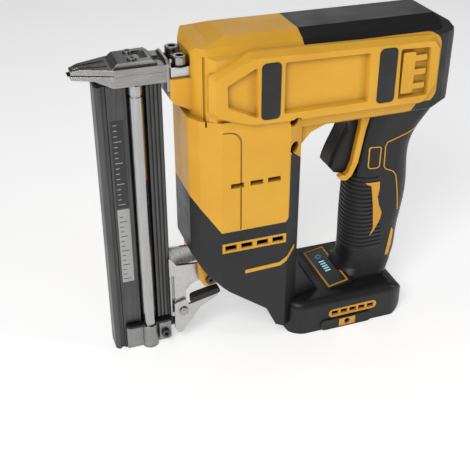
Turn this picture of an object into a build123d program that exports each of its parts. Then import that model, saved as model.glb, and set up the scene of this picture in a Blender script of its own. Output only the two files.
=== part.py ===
"""Cordless brad nailer, in millimetres.

Frame: +X runs from the nose to the rear, +Z is up, the body is symmetric about Y = 0.
The near side is -Y. Z = 0 is the plane the foot and the magazine stand on.
"""
import os
from math import cos, hypot, radians, sin

from build123d import *

os.makedirs("parts", exist_ok=True)

# ---- driving sizes -------------------------------------------------------
wall = 2.6                # thickness of the moulded shells
half_body = 33.0          # half width of head and barrel
panel_proud = 5.0         # how far the side panels stand out
panel_top = 234.0
head_front = -58.0        # front face of the head
head_top = 240.5
barrel_floor = 169.5      # underside of the barrel, top of the finger gap
yellow_rear = 117.0       # where the rear bumper starts
body_rear = 134.5         # rearmost face
cover_front = 16.0        # front edge of the black top cover
column_front = -61.5
column_rear = 18.0
half_column = 35.0
foot_front = 9.0
foot_rear = 110.0
half_foot = 39.0
foot_top = 28.0
pack_recess = 12.0        # depth of the space for the pack's rails under the foot
handle_half = 17.0

drive_z = 219.6           # height of the driver blade and nail channel
channel_width = 5.9       # room for a narrow-crown fastener
channel_depth = 1.4
blade_gap = 0.08          # blade to channel, each side
nose_half = 14.0
nose_tip = -132.7
nose_floor = 212.8        # underside of the lower nose plate
nose_rear = -73.0

mag_front = -119.5
mag_half = 9.0
mag_top = nose_floor
rail_rear = -75.8
tube_x = -93.2
tube_y = -9.4
tube_r = 5.0
slide_gap = 0.3           # magazine cover to rail

motor_x = -6.0            # motor, gear case and lifter share this station
lifter_pitch = 13.0       # radius at which the lifter pins drive the blade
pin_pitch = 8.5           # spacing of the lifter pins along their pitch circle
pin_count = 6
cylinder_bore = 12.0      # radius
cylinder_wall = 2.5
piston_front = 34.0
motor_r = 19.0
running_gap = 0.05        # shafts in bearings, radial


# ---- planes and small helpers ------------------------------------------
def side_plane(y):
    """XZ plane at the given y, looking along -Y."""
    return Plane.XZ.offset(-y)


def cross_plane(x):
    return Plane.YZ.offset(x)


def level(z):
    return Plane.XY.offset(z)


def both_sides(points):
    """Close a half outline (first coordinate is |y|) into a symmetric one."""
    return list(points) + [(-a, b) for a, b in reversed(points)]


def inset_outline(points, amount):
    """Outline with every edge moved inwards by the amount."""
    area = sum(x0 * y1 - x1 * y0 for (x0, y0), (x1, y1) in zip(points, points[1:] + points[:1]))
    turn = 1 if area > 0 else -1
    edges = []
    for (x0, y0), (x1, y1) in zip(points, points[1:] + points[:1]):
        length = hypot(x1 - x0, y1 - y0)
        nx, ny = -turn * (y1 - y0) / length, turn * (x1 - x0) / length
        edges.append((x0 + nx * amount, y0 + ny * amount, x1 - x0, y1 - y0))
    moved = []
    for (ax, ay, ux, uy), (bx, by, vx, vy) in zip(edges[-1:] + edges[:-1], edges):
        cross = ux * vy - uy * vx
        along = ((bx - ax) * vy - (by - ay) * vx) / cross if abs(cross) > 1e-9 else 0
        moved.append((ax + along * ux, ay + along * uy) if abs(cross) > 1e-9 else (bx, by))
    return moved


def band(path, width):
    """Outline of an open path drawn with a pen of the given width."""
    left, right = [], []
    ends = [path[0]] + path + [path[-1]]
    for (x0, y0), (x, y), (x1, y1) in zip(ends, path, ends[2:]):
        length = hypot(x1 - x0, y1 - y0)
        nx, ny = -(y1 - y0) / length * width / 2, (x1 - x0) / length * width / 2
        left.append((x + nx, y + ny))
        right.append((x - nx, y - ny))
    return left + right[::-1]


def slab(points, y_low, y_high, corner=0.0):
    """Side outline (x, z) between two y planes."""
    with BuildPart() as piece:
        with BuildSketch(side_plane(y_high)):
            Polygon(*points, align=None)
            if corner:
                fillet(vertices(), corner)
        extrude(amount=y_high - y_low)
    return piece.part


def tower(points, z_low, z_high, corner=0.0):
    """Plan outline (x, y) between two heights."""
    with BuildPart() as piece:
        with BuildSketch(level(z_low)):
            Polygon(*points, align=None)
            if corner:
                fillet(vertices(), corner)
        extrude(amount=z_high - z_low)
    return piece.part


def block(x0, x1, y0, y1, z0, z1):
    with BuildPart() as piece:
        with Locations(((x0 + x1) / 2, (y0 + y1) / 2, (z0 + z1) / 2)):
            Box(x1 - x0, y1 - y0, z1 - z0)
    return piece.part


def rod_x(x0, x1, y, z, r):
    with BuildPart() as piece:
        with BuildSketch(cross_plane(x0)):
            with Locations((y, z)):
                Circle(r)
        extrude(amount=x1 - x0)
    return piece.part


def rod_y(y0, y1, x, z, r):
    with BuildPart() as piece:
        with BuildSketch(side_plane(y1)):
            with Locations((x, z)):
                Circle(r)
        extrude(amount=y1 - y0)
    return piece.part


def rod_z(z0, z1, x, y, r):
    with BuildPart() as piece:
        with BuildSketch(level(z0)):
            with Locations((x, y)):
                Circle(r)
        extrude(amount=z1 - z0)
    return piece.part


def save(solid, name):
    solid.label = name
    export_step(solid, "parts/" + name + ".step")


def cut(solid, *tools):
    """Solid with the tools taken away."""
    with BuildPart() as piece:
        add(solid)
        for tool in tools:
            add(tool, mode=Mode.SUBTRACT)
    return piece.part


def join(*solids):
    with BuildPart() as piece:
        for solid in solids:
            add(solid)
    return piece.part


def common(solid, other):
    with BuildPart() as piece:
        add(solid)
        add(other, mode=Mode.INTERSECT)
    return piece.part


def other_side(solid):
    """Mirror image across the centre plane."""
    return mirror(solid, about=Plane.XZ)


def near_half(solid):
    return common(solid, block(-200, 200, -80, 0, -50, 300))


# ---- body outlines -----------------------------------------------------
head_side = [
    (head_front, 176), (head_front, 231.5), (head_front + 3, 236), (head_front + 12, 237.5),
    (head_front + 23, head_top), (yellow_rear, head_top), (yellow_rear, barrel_floor),
    (38, barrel_floor), (27, 165), (20, 157), (column_rear, 148), (-20, 148), (-40, 160),
]
head_cross = both_sides([
    (16, head_top), (25, head_top - 4.5), (29, head_top - 8.5), (half_body, head_top - 10),
    (half_body, 182), (27, 180.5), (25, 172), (21.5, barrel_floor), (21.5, 140),
])
head_plan = both_sides([(14, head_front), (30, head_front + 8), (half_body, head_front + 12),
                        (half_body, yellow_rear)])
head_plan = [(b, a) for a, b in head_plan]
column_plan = [
    (column_front, -18), (column_front + 5.5, -27), (-43, -half_column), (6, -half_column),
    (column_rear, -26), (42, -22), (42, 22), (column_rear, 26), (6, half_column),
    (-43, half_column), (column_front + 5.5, 27), (column_front, 18),
]
column_side = [
    (column_front, 188), (column_front, 81), (-54, 68), (-38, 52), (-8, 29), (-1, 13), (7, 8.5),
    (40, 8.5), (40, 27), (32, 36), (column_rear + 3, 56), (column_rear, 64), (column_rear, 188),
]
ledge_side = [(-71.2, 200), (-71.2, 214.5), (-50, 214.5), (-50, 187), (-61, 193.5), (-68, 197)]
cover_edge = [(-90, 129.5), (-62, 129.5), (-43.5, 103.5), (4.5, 103.5), (7, 107), (7, 155.5),
              (8.5, 158), (20, 147), (60, 147), (60, -20), (-90, -20)]


def head_solid(inset):
    """Head and barrel, with every wall moved in by the inset."""
    with BuildPart() as piece:
        with BuildSketch(Plane.XZ):
            Polygon(*inset_outline(head_side, inset), align=None)
        extrude(amount=60, both=True)
        with BuildSketch(cross_plane(-90)):
            Polygon(*inset_outline(head_cross, inset), align=None)
        extrude(amount=300, mode=Mode.INTERSECT)
        with BuildSketch(level(100)):
            Polygon(*inset_outline(head_plan, inset), align=None)
        extrude(amount=200, mode=Mode.INTERSECT)
    return piece.part


def column_solid(inset):
    """Motor column down to its raked underside."""
    with BuildPart() as piece:
        with BuildSketch(Plane.XZ):
            Polygon(*inset_outline(column_side, inset), align=None)
        extrude(amount=60, both=True)
        with BuildSketch(level(0)):
            Polygon(*inset_outline(column_plan, inset), align=None)
        extrude(amount=200, mode=Mode.INTERSECT)
    return piece.part


def arc_points(cx, cz, r, start, stop, count=6):
    """Points along an arc, angles in degrees."""
    step = (stop - start) / (count - 1)
    angles = [radians(start + step * i) for i in range(count)]
    return [(cx + r * cos(a), cz + r * sin(a)) for a in angles]


rear_side = [(100, head_top), (118, head_top), (126, head_top - 4), (131.5, head_top - 13),
             (body_rear, head_top - 22), (body_rear, 187), (131, 180), (yellow_rear, barrel_floor),
             (100, barrel_floor)]
rear_plan_half = [(100, half_body), (yellow_rear, half_body), (122.5, half_body - 1.2),
                  (127.5, half_body - 4), (131.5, half_body - 8.5), (133.8, half_body - 14),
                  (body_rear, half_body - 20)]
rear_plan = rear_plan_half + [(a, -b) for a, b in reversed(rear_plan_half)]


def rear_solid(inset):
    """Rounded tail of the barrel."""
    with BuildPart() as piece:
        with BuildSketch(Plane.XZ):
            Polygon(*inset_outline(rear_side, inset), align=None)
        extrude(amount=60, both=True)
        with BuildSketch(cross_plane(90)):
            Polygon(*inset_outline(head_cross, inset), align=None)
        extrude(amount=60, mode=Mode.INTERSECT)
        with BuildSketch(level(100)):
            Polygon(*inset_outline(rear_plan, inset), align=None)
        extrude(amount=200, mode=Mode.INTERSECT)
    return piece.part


# the yellow covers this side region of the barrel, with round rear corners
corner_r = 9.0
yellow_keep = (
    [(-120, 300), (cover_front, 300), (cover_front, head_top - 8.5)]
    + arc_points(yellow_rear - corner_r, head_top - 8.5 - corner_r, corner_r, 90, 0)
    + arc_points(yellow_rear - corner_r, 180.5 + corner_r, corner_r, 0, -90)
    + [(102, barrel_floor), (80, 100), (-120, 100)]
)


# ---- side panels of the barrel ------------------------------------------
panel_outline = [
    (-51, 221), (-23, panel_top), (110, panel_top - 3), (116, 223), (116, 196), (106, 181),
    (-14, 181.5), (-24, 182.5), (-47, 190.5), (-51, 196),
]
hollow_front = [(-40, 214.5), (-19.5, 225), (-18.5, 189), (-39.5, 199.5)]
hollow_middle = [(-0.5, 190), (-0.5, 226), (60.5, 225), (61, 190)]
hollow_rear = [(84, 188.5), (83, 225), (106, 224), (107, 189)]
pad_places = [(-10, 207.2), (74, 207.2)]
pad_size = (13.6, 39.5)
hex_holes = [(9.5, 181.5), (10.5, 160.5)]


def side_panel():
    """Raised panel on the near side, with its three hollows and two pad seats."""
    with BuildPart() as piece:
        with BuildSketch(side_plane(-half_body + 3.5)):
            Polygon(*panel_outline, align=None)
            fillet(vertices(), 3)
        extrude(amount=3.5)
        with BuildSketch(side_plane(-half_body)):
            Polygon(*panel_outline, align=None)
            fillet(vertices(), 3)
        extrude(amount=panel_proud, taper=32)
        face_y = -half_body - panel_proud
        for points in (hollow_front, hollow_middle, hollow_rear):
            with BuildSketch(side_plane(face_y)):
                Polygon(*points, align=None)
                fillet(vertices(), 1.2)
            extrude(amount=-3.4, taper=22, mode=Mode.SUBTRACT)
        for x, z in pad_places:
            with BuildSketch(side_plane(face_y)):
                with Locations((x, z)):
                    RectangleRounded(*pad_size, 3.4)
            extrude(amount=-2.4, mode=Mode.SUBTRACT)
        # slider block and three ribs in the rear hollow
        with BuildSketch(side_plane(face_y + 3.4)):
            with Locations((90.5, 206.8)):
                RectangleRounded(9.5, 30, 1.5)
        extrude(amount=2.6)
        for z in (196.6, 206.8, 217):
            with BuildSketch(side_plane(face_y + 3.4)):
                with Locations((99.4, z)):
                    RectangleRounded(9.4, 4.2, 1)
            extrude(amount=2.6)
    return piece.part


# ---- trigger lip: two walls that flank the trigger ----------------------
lip_side = [
    (77, 172), (73, 157), (68.8, 131), (64.5, 121), (60.5, 117.8), (57, 118), (53.6, 120.8),
    (56.4, 122.8), (59.2, 121.8), (61.4, 123.6), (64.2, 131), (66.6, 146),
    (68.6, 160), (69, 172),
]
trigger_half = 11.0
lip_half = 16.4


def trigger_lip():
    return join(slab(lip_side, trigger_half + 0.5, lip_half, 0.8),
                slab(lip_side, -lip_half, -trigger_half - 0.5, 0.8))


# ---- nose seat --------------------------------------------------------
def ledge():
    with BuildPart() as piece:
        with BuildSketch(Plane.XZ):
            Polygon(*ledge_side, align=None)
        extrude(amount=16, both=True)
        chamfer(piece.edges().filter_by(Axis.Z).sort_by(Axis.X)[0:2], 2)
    return piece.part


def front_cap_groove():
    """Joint line between the front cap and the side shell, and down the column."""
    path = [(-43, 180.2)] + arc_points(-38.5, 171.5, 8.5, 90, 0, 6) + [(-30, 104)]
    line = [(x + 1.1, z + 0.7) for x, z in path] + [(x, z) for x, z in reversed(path)]
    low = join(slab(line, -45, -half_column + 0.9), block(-52.5, -51.4, -45, -24.6, 184, 231.5))
    return join(low, other_side(low))


def build_body():
    column = column_solid(0)
    lower_zone = slab(cover_edge, -60, 60)
    cavity = join(head_solid(wall), column_solid(wall))
    rear = rear_solid(0)
    cavity_rear = rear_solid(wall)
    core_cross = both_sides([(14.8, head_top - 3), (23.4, head_top - 7.1), (25.6, head_top - 9.3),
                             (29, head_top - 8.5), (45, head_top - 8.5), (45, 60)])
    with BuildPart() as over_core:
        with BuildSketch(cross_plane(cover_front)):
            Polygon(*core_cross, align=None)
        extrude(amount=150)
    head = join(head_solid(0), rear)
    region = slab(yellow_keep, -70, 70)
    cover_block = cut(block(cover_front, 119.5, -45, 45, 200, 260), over_core.part)
    cover = cut(common(head, cover_block), cavity)
    panel = side_panel()
    yellow = cut(head, cover_block, lower_zone)
    yellow = common(yellow, region_with_core(region))
    yellow = join(yellow, cut(column, lower_zone), ledge(), trigger_lip(), panel, other_side(panel))
    yellow = cut(yellow, cavity, cavity_rear)
    bumper = cut(head, region_with_core(region), cover_block, cavity_rear,
                 block(-80, 101, -60, 60, 100, 300))
    lower = cut(common(column, lower_zone), column_solid(wall))
    return yellow, cover, bumper, lower


def region_with_core(region):
    """Yellow zone plus what lies under the top cover."""
    return join(region, block(cover_front, 108, -45, 45, head_top - 9, 260))


# ---- handle -------------------------------------------------------------
handle_sections = [
    # height, front x, rear x, half width
    (40, 65.6, 111.0, handle_half),
    (62, 66.4, 113.4, handle_half - 0.3),
    (86, 66.4, 116.2, handle_half),
    (110, 67.2, 117.0, handle_half + 0.2),
    (134, 68.6, 115.8, handle_half + 0.4),
    (148, 70.5, 118.8, handle_half + 1.2),
    (barrel_floor, 74.0, 131.0, handle_half + 4),
]
collar_sections = [(foot_top - 6, 58.5, 102.5, 23.0), (31, 61.0, 106.0, 20.8),
                   (35, 64.0, 109.0, 18.6), (40, 65.6, 111.0, handle_half)]
rib_low = 52.0
rib_high = 117.0
rib_count = 18
rib_depth = 1.1
inlay_line = 0.8          # width of the thin coloured line


def grip_loft(sections, inset, corner=15.0, **options):
    """Smooth body through rounded rectangles, narrowed by the inset."""
    with BuildPart() as piece:
        for z, x0, x1, half in sections:
            with BuildSketch(level(z)):
                with Locations(((x0 + x1) / 2, 0)):
                    RectangleRounded(x1 - x0 - 2 * inset, 2 * (half - inset), corner - inset)
        loft(**options)
    return piece.part


def handle_envelope(inset):
    upper = grip_loft(handle_sections, inset)
    lower = grip_loft(collar_sections, inset, ruled=True)
    return join(upper, lower)


def build_handle(body_blank):
    """Two shells, the ribbed sleeve on their front and the coloured inlays."""
    outer = handle_envelope(0)
    inner = handle_envelope(wall)
    seat = handle_envelope(rib_depth + 0.9)
    # the sleeve covers the front of the grip between two heights
    front_zone = tower([(50, -40), (94, -40), (94, 40), (50, 40)], rib_low, rib_high)
    front_zone = cut(front_zone, slab([(94.5, 40), (94.5, 125), (85, 125), (88, 109), (91, 80),
                                       (94, 62)], -45, 45))
    trigger_slot = block(60, 76.5, -trigger_half - 0.8, trigger_half + 0.8, 119, 175)
    blank = cut(outer, inner, body_blank, slab(
        [(40, 175), (73.3, 175), (73.1, 157), (69.1, 131), (64.6, 120.3), (60.5, 117.3), (40, 112)],
        -45, 45), trigger_slot)
    groove_zone = cut(common(outer, front_zone), seat)
    sleeve = common(cut(outer, seat), front_zone)
    pitch = (rib_high - rib_low) / rib_count
    floor = handle_envelope(rib_depth)
    gaps = []
    for i in range(rib_count):
        z = rib_low + pitch * i
        gaps.append(block(40, 120, -40, 40, z + pitch * 0.62, z + pitch))
    sleeve = cut(sleeve, cut(join(*gaps), floor))
    shells = cut(blank, groove_zone)
    # coloured inlays stand 0.5 proud on each side
    skin = handle_envelope(-0.5)
    inlay_outlines = [
        [(76.5, 112.5), (88.2, 112.2), (88.6, 106), (87.6, 99), (89.2, 92), (92.5, 84), (91.5, 78),
         (87.3, 69), (83.6, 64), (86.2, 71), (84.2, 92), (81.4, 109.4), (78, 110.8)],
        [(103, 68), (105.5, 64), (104.5, 52), (102, 42.5), (99.2, 43.5), (101.2, 56)],
    ]
    line_path = [(113, 153.5), (106, 150.5), (91, 145.3), (89.8, 142), (90.4, 125), (92, 122.6),
                 (98.5, 119.5), (101.4, 115.5), (103.6, 104), (106.5, 84)]
    inlay_outlines.append(band(line_path, inlay_line))
    pieces = []
    for points in inlay_outlines:
        pieces.append(cut(common(skin, slab(points, -40, -5)), outer))
    with BuildPart() as ring:
        with BuildSketch(side_plane(-5)):
            with Locations((82, 133.5)):
                RectangleRounded(9.6, 18.4, 2.4)
                RectangleRounded(8, 16.8, 1.7, mode=Mode.SUBTRACT)
        extrude(amount=35)
    pieces.append(cut(common(skin, ring.part), outer))
    inlays = join(*pieces)
    return shells, sleeve, join(inlays, other_side(inlays))


# ---- foot --------------------------------------------------------------
foot_side = [(foot_front, 2), (foot_front + 2, 0), (foot_rear - 12, 0), (foot_rear - 4, 5),
             (foot_rear, 13), (foot_rear - 1, 19), (foot_rear - 6, 25), (foot_rear - 14, foot_top),
             (foot_front, foot_top)]
vent_x = 62.5
vent_z = 14.2
hook_x = 57.7             # threaded insert for the belt hook
hook_z = 4.6
hook_hole = 2.0
insert_r = 2.58
insert_seat_r = 2.6


def foot_envelope():
    with BuildPart() as piece:
        with BuildSketch(Plane.XZ):
            Polygon(*foot_side, align=None)
        extrude(amount=60, both=True)
        with BuildSketch(level(-5)):
            with Locations(((foot_front + foot_rear) / 2, 0)):
                RectangleRounded(foot_rear - foot_front, 2 * half_foot, 15)
        extrude(amount=60, mode=Mode.INTERSECT)
        fillet(piece.edges().filter_by(lambda e: abs(e.center().Z - foot_top) < 0.2
                                       and abs(e.center().Y) > 30), 6)
    return piece.part


def build_foot():
    outer = foot_envelope()
    pocket = block(foot_front + 5, 140, -half_foot + 6, half_foot - 6, -10, pack_recess)
    with BuildPart() as space:
        with BuildSketch(level(pack_recess + 3)):
            with Locations(((foot_front + foot_rear - 2) / 2, 0)):
                RectangleRounded(foot_rear - foot_front - 10, 2 * half_foot - 6.4, 11)
        extrude(amount=foot_top - wall - pack_recess - 3)
    room = space.part
    window = block(49.2, 61.8, -20, 20, 20, 40)
    shells = cut(outer, pocket, room, window, block(66, 104, -12, 12, 20, 40))
    # tab low on each flank, with the hook's seat
    with BuildPart() as tab:
        with BuildSketch(side_plane(-half_foot + 1)):
            with Locations((57, 4.6)):
                RectangleRounded(43, 9.2, 3.5)
        extrude(amount=2.4)
        with BuildSketch(side_plane(-half_foot - 1.4)):
            with Locations((hook_x, hook_z)):
                Rectangle(14, 7)
        extrude(amount=-1.2, mode=Mode.SUBTRACT)
        with BuildSketch(side_plane(-half_foot - 1.4)):
            with Locations((hook_x, hook_z)):
                Circle(insert_seat_r)
        extrude(amount=-9, mode=Mode.SUBTRACT)
    seat_hole = rod_y(-45, -30, hook_x, hook_z, insert_seat_r)
    # row of vents with its coloured frame
    with BuildPart() as frame_seat:
        with BuildSketch(side_plane(-half_foot)):
            with Locations((vent_x, vent_z)):
                SlotOverall(41, 7.4, rotation=1)
        extrude(amount=-2, mode=Mode.ADD)
    near = join(cut(shells, frame_seat.part, other_side(frame_seat.part), seat_hole,
                    other_side(seat_hole)), tab.part, other_side(tab.part))
    slots = []
    for i in range(5):
        x = vent_x - 15.2 + 7.6 * i
        slots.append(block(x - 2.9, x + 2.9, -45, -30, vent_z - 1.9, vent_z + 1.9))
    slots = join(*slots)
    frame = cut(frame_seat.part, slots)
    near = cut(near, common(slots, block(0, 200, -45, -34, 0, 60)),
               common(other_side(slots), block(0, 200, 34, 45, 0, 60)))
    return near, join(frame, other_side(frame))


# ---- trims on the column ------------------------------------------------
upper_slots = [(-32, 139.8), (-18, 140), (-5, 140.2)]
lower_vent = (-19, 90.2)
strip_side = [(-26, 66), (1.5, 67), (14.5, 76), (14.5, 79.3), (0.5, 70), (-26, 69)]


def column_trims():
    """Cutters and coloured frames for the vents and the strip, near side."""
    x, z = lower_vent
    seat = block(x - 24.2, x + 24.2, -half_column, -half_column + 1.6, z - 3.9, z + 3.9)
    windows = [block(x - 17.8 + 11.9 * i - 4.3, x - 17.8 + 11.9 * i + 4.3, -half_column - 2,
                     -half_column + 5, z - 2.1, z + 2.1) for i in range(4)]
    windows = join(*windows)
    frame = cut(seat, windows)
    slots = [block(a - 4.7, a + 4.7, -half_column - 2, -half_column + 5, b - 1.8, b + 1.8)
             for a, b in upper_slots]
    skin = cut(column_solid(-0.4), column_solid(0))
    strip = common(skin, slab(strip_side, -45, -20))
    return seat, windows, frame, join(*slots), strip


def hex_hole_cutters():
    holes = []
    for x, z in hex_holes:
        holes.append(rod_y(-45, -24, x, z, 4.2))
        holes.append(rod_y(24, 45, x, z, 4.2))
    return holes


def shell_screws():
    """Cap screws that hold the halves together, sunk in their holes on the near side."""
    screws = []
    for x, z in hex_holes:
        with BuildPart() as screw:
            with BuildSketch(side_plane(-20)):
                with Locations((x, z)):
                    Circle(3.6)
            extrude(amount=4)
            with BuildSketch(side_plane(-24)):
                with Locations((x, z)):
                    RegularPolygon(1.9, 6)
            extrude(amount=-2.4, mode=Mode.SUBTRACT)
            with BuildSketch(side_plane(14)):
                with Locations((x, z)):
                    Circle(1.9)
            extrude(amount=34)
        screws.append(screw.part)
    return join(*screws)


def screw_bosses(zone):
    """Solid posts inside the shells around the screws."""
    posts = []
    for x, z in hex_holes:
        post = cut(rod_y(-24, 24, x, z, 6.4), rod_y(-24.5, -20, x, z, 4.2), rod_y(-20, 15, x, z, 1.95))
        posts.append(cut(common(post, zone), block(0, 100, -0.01, 0.01, 0, 300)))
    return join(*posts)


# ---- front lugs ----------------------------------------------------------
lug_x = -49.5
lug_z = 56.5
arm_in = 11.3             # inner face of the latch bracket's side plates
arm_out = 13.3
lug_y = arm_out + 4


def front_lugs():
    """Two ears under the front of the column that carry the latch bracket."""
    lugs = []
    for sign in (-1, 1):
        with BuildPart() as lug:
            with BuildSketch(side_plane(sign * lug_y + 4)):
                Polygon((lug_x - 6.5, lug_z + 14), (lug_x - 6.5, lug_z), (lug_x - 3, lug_z - 5.5),
                        (lug_x + 5, lug_z - 5), (lug_x + 16, lug_z + 3), (lug_x + 16, lug_z + 14),
                        align=None)
                fillet(vertices().sort_by(Axis.Y)[0:2], 3)
            extrude(amount=8)
        lugs.append(cut(lug.part, column_solid(0),
                        rod_y(-40, 40, lug_x + 1, lug_z + 0.5, 2.1)))
    return join(*lugs)


def lug_screws():
    screws = []
    for sign in (-1, 1):
        y = sign * lug_y
        shaft = rod_y(min(y - sign * 9, y + sign * 4), max(y - sign * 9, y + sign * 4),
                      lug_x + 1, lug_z + 0.5, 2.0)
        out = sign * (lug_y + 4)
        with BuildPart() as head:
            with BuildSketch(side_plane(max(out, out + sign * 2.2))):
                with Locations((lug_x + 1, lug_z + 0.5)):
                    Circle(3.6)
            extrude(amount=2.2)
            with BuildSketch(side_plane(out + sign * 2.2)):
                with Locations((lug_x + 1, lug_z + 0.5)):
                    RegularPolygon(1.6, 6)
            extrude(amount=sign * 1.4, mode=Mode.SUBTRACT)
        screws.append(join(shaft, head.part))
    return join(*screws)


# ---- nose -----------------------------------------------------------------
tip_half = 4.0
kink_x = -107.0
nose_plan = [(nose_tip, -tip_half), (kink_x, -nose_half), (nose_rear, -nose_half),
             (nose_rear, nose_half), (kink_x, nose_half), (nose_tip, tip_half)]
seam_z = drive_z + channel_depth / 2     # where the two plates meet
slot_top = seam_z + 0.9   # roof of the contact slide's space
plate_top = 224.9
lower_side = [(nose_tip, seam_z), (nose_tip, seam_z - 2.6), (-119, 217.3), (kink_x - 1, nose_floor),
              (nose_rear, nose_floor), (nose_rear, seam_z)]
upper_side = [(nose_tip - 0.5, seam_z), (nose_tip - 0.5, plate_top - 1.5), (-127, plate_top),
              (nose_rear, plate_top), (nose_rear, seam_z)]
small_screw_x = -93.5
small_screw_y = 6.6
channel_x = (nose_tip - 5, nose_rear + 3)
mag_mouth = (mag_front + 1.8, -88.0)     # span of the fastener strip along X


def fastener_channel(x0, x1):
    half = channel_width / 2
    return block(x0, x1, -half, half, drive_z - channel_depth / 2, drive_z + channel_depth / 2)


def tip_slot():
    """Flat space between the nose plates where the contact tip slides."""
    with BuildPart() as piece:
        with BuildSketch(level(seam_z)):
            Polygon((nose_tip - 4, -20), (kink_x, -20), (kink_x, -10), (-84, -10), (-84, 10),
                    (kink_x, 10), (kink_x, 20), (nose_tip - 4, 20), align=None)
        extrude(amount=slot_top - seam_z)
    return piece.part


def lower_plate():
    with BuildPart() as piece:
        with BuildSketch(Plane.XZ):
            Polygon(*lower_side, align=None)
        extrude(amount=30, both=True)
        with BuildSketch(level(200)):
            Polygon(*nose_plan, align=None)
        extrude(amount=40, mode=Mode.INTERSECT)
        with Locations(((mag_mouth[0] + mag_mouth[1]) / 2, 0, drive_z - 6)):
            Box(mag_mouth[1] - mag_mouth[0], channel_width, 12, mode=Mode.SUBTRACT)
        with Locations(((small_screw_x, small_screw_y, seam_z)), (small_screw_x, -small_screw_y, seam_z)):
            Hole(1.5, 6)
    return cut(piece.part, fastener_channel(*channel_x))


boss_side = [(-107.5, plate_top), (-103.5, 228.2), (-82, 228.9), (-79, 226.5), (-78, plate_top)]


def upper_plate():
    """Top nose plate: tapered ridges in front, dished screw boss behind."""
    with BuildPart() as piece:
        with BuildSketch(Plane.XZ):
            Polygon(*upper_side, align=None)
        extrude(amount=30, both=True)
        with BuildSketch(level(200)):
            Polygon(*nose_plan, align=None)
        extrude(amount=40, mode=Mode.INTERSECT)
        with BuildSketch(Plane.XZ):
            Polygon(*boss_side, align=None)
        extrude(amount=11.5, both=True)
        # dish between and behind the screws
        with BuildSketch(Plane.XZ):
            with Locations((-88.5, 236.5)):
                Circle(9.2)
        extrude(amount=7.4, both=True, mode=Mode.SUBTRACT)
        for sign in (-1, 1):
            with BuildSketch(level(plate_top)):
                Polygon((-131, sign * 1.2), (-109.5, sign * 3.2), (-109.5, sign * 6.6),
                        (-131, sign * 2.4), align=None)
            extrude(amount=-1.1, mode=Mode.SUBTRACT)
        with Locations((-76.2, 0, plate_top)):
            Box(4.4, 9, 3, mode=Mode.SUBTRACT)
        with Locations((small_screw_x, small_screw_y, 228.6), (small_screw_x, -small_screw_y, 228.6)):
            CounterBoreHole(1.5, 3.3, 1.6, 12)
    return cut(piece.part, tip_slot())


def socket_screw(x, y, seat_z, head_r, head_h, shank_r, shank, hex_r):
    """Vertical cap screw, head up."""
    with BuildPart() as piece:
        with BuildSketch(level(seat_z - shank)):
            with Locations((x, y)):
                Circle(shank_r)
        extrude(amount=shank)
        with BuildSketch(level(seat_z)):
            with Locations((x, y)):
                Circle(head_r)
        extrude(amount=head_h)
        chamfer(piece.edges().filter_by(GeomType.CIRCLE).sort_by(Axis.Z)[-1], head_r * 0.1)
        with BuildSketch(level(seat_z + head_h)):
            with Locations((x, y)):
                RegularPolygon(hex_r, 6)
        extrude(amount=-head_h * 0.55, mode=Mode.SUBTRACT)
    return piece.part


def contact_tip():
    """Thin slide between the plates; its tip stands out of the nose."""
    with BuildPart() as piece:
        with BuildSketch(level(seam_z + 0.06)):
            Polygon((nose_tip - 1.8, -2.8), (-128, -2.8), (-126, -5.2), (-116, -9), (-97, -9),
                    (-97, -5), (-118, -5), (-118, 5), (-97, 5), (-97, 9), (-116, 9), (-126, 5.2),
                    (-128, 2.8), (nose_tip - 1.8, 2.8), align=None)
        extrude(amount=slot_top - seam_z - 0.12)
    return piece.part


anvil_x = (-71.2, -54.5)
anvil_half = 13.5
anvil_low = 214.5
anvil_fit = 0.1           # block to the head
anvil_top = 222.0
big_screw_x = -63.0
big_screw_y = 9.5


def anvil_block():
    with BuildPart() as piece:
        with Locations(((anvil_x[0] + anvil_x[1]) / 2, 0, (anvil_low + anvil_top) / 2)):
            Box(anvil_x[1] - anvil_x[0], 2 * anvil_half, anvil_top - anvil_low)
        chamfer(piece.edges().filter_by(Axis.Z).sort_by(Axis.X)[0:2], 1.2)
        with Locations((big_screw_x, big_screw_y, anvil_top), (big_screw_x, -big_screw_y, anvil_top)):
            Hole(3.1, 8)
    return cut(piece.part, fastener_channel(-72, head_front + 6))


def anvil_washers():
    rings = [cut(rod_z(anvil_top, anvil_top + 1, big_screw_x, y, 5.9),
                 rod_z(anvil_top - 1, anvil_top + 2, big_screw_x, y, 3.1))
             for y in (-big_screw_y, big_screw_y)]
    return join(*rings)


def anvil_screws():
    return join(*[socket_screw(big_screw_x, y, anvil_top + 1, 5.0, 5.6, 3.0, 23.5, 2.9)
                  for y in (-big_screw_y, big_screw_y)])


def nose_screws():
    return join(*[socket_screw(small_screw_x, y, 227.0, 3.1, 2.8, 1.5, 12.5, 1.5)
                  for y in (-small_screw_y, small_screw_y)])


def back_plate():
    """Thin upright plate between the nose and the anvil block."""
    with BuildPart() as piece:
        with BuildSketch(cross_plane(nose_rear)):
            Polygon(*both_sides([(10, 227.3), (nose_half, 225), (nose_half, 206), (6, 203)]), align=None)
        extrude(amount=1.8)
    return cut(piece.part, fastener_channel(-80, -60))


# ---- magazine -----------------------------------------------------------
rail_half = 10.6
cover_rear = -99.5


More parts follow.
